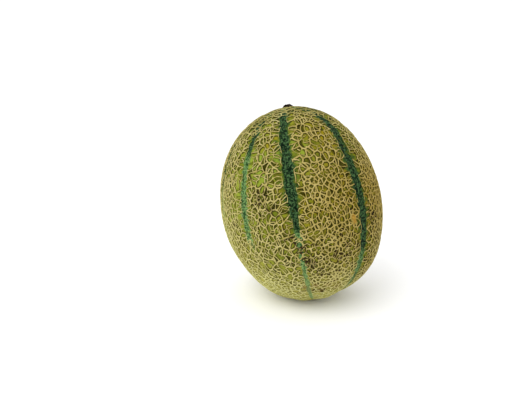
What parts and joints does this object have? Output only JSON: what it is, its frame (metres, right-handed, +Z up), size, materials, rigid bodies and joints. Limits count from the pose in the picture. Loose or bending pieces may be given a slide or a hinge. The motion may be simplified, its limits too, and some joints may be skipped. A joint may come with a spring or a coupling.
{
  "type": "rock melon",
  "caption": "Whole netted rock melon with dark green sutures, a raised corky net and a dry stem stub, standing on a small flat spot.",
  "frame": {"origin": "middle of the small flat spot at the blossom end, on which the fruit stands", "axes": "+Z up, out of the surface that the fruit stands on, roughly along the fruit to its stem end, which leans 10 degrees to -X and 3 degrees to +Y; -Y faces the picture's viewer; +X to the viewer's right"},
  "size_m": [0.1283, 0.1251, 0.1524],
  "materials": {
    "netted_rind": "matte"
  },
  "bodies": {
    "root": {"rock_melon": "netted_rind"}
  },
  "joints": []
}
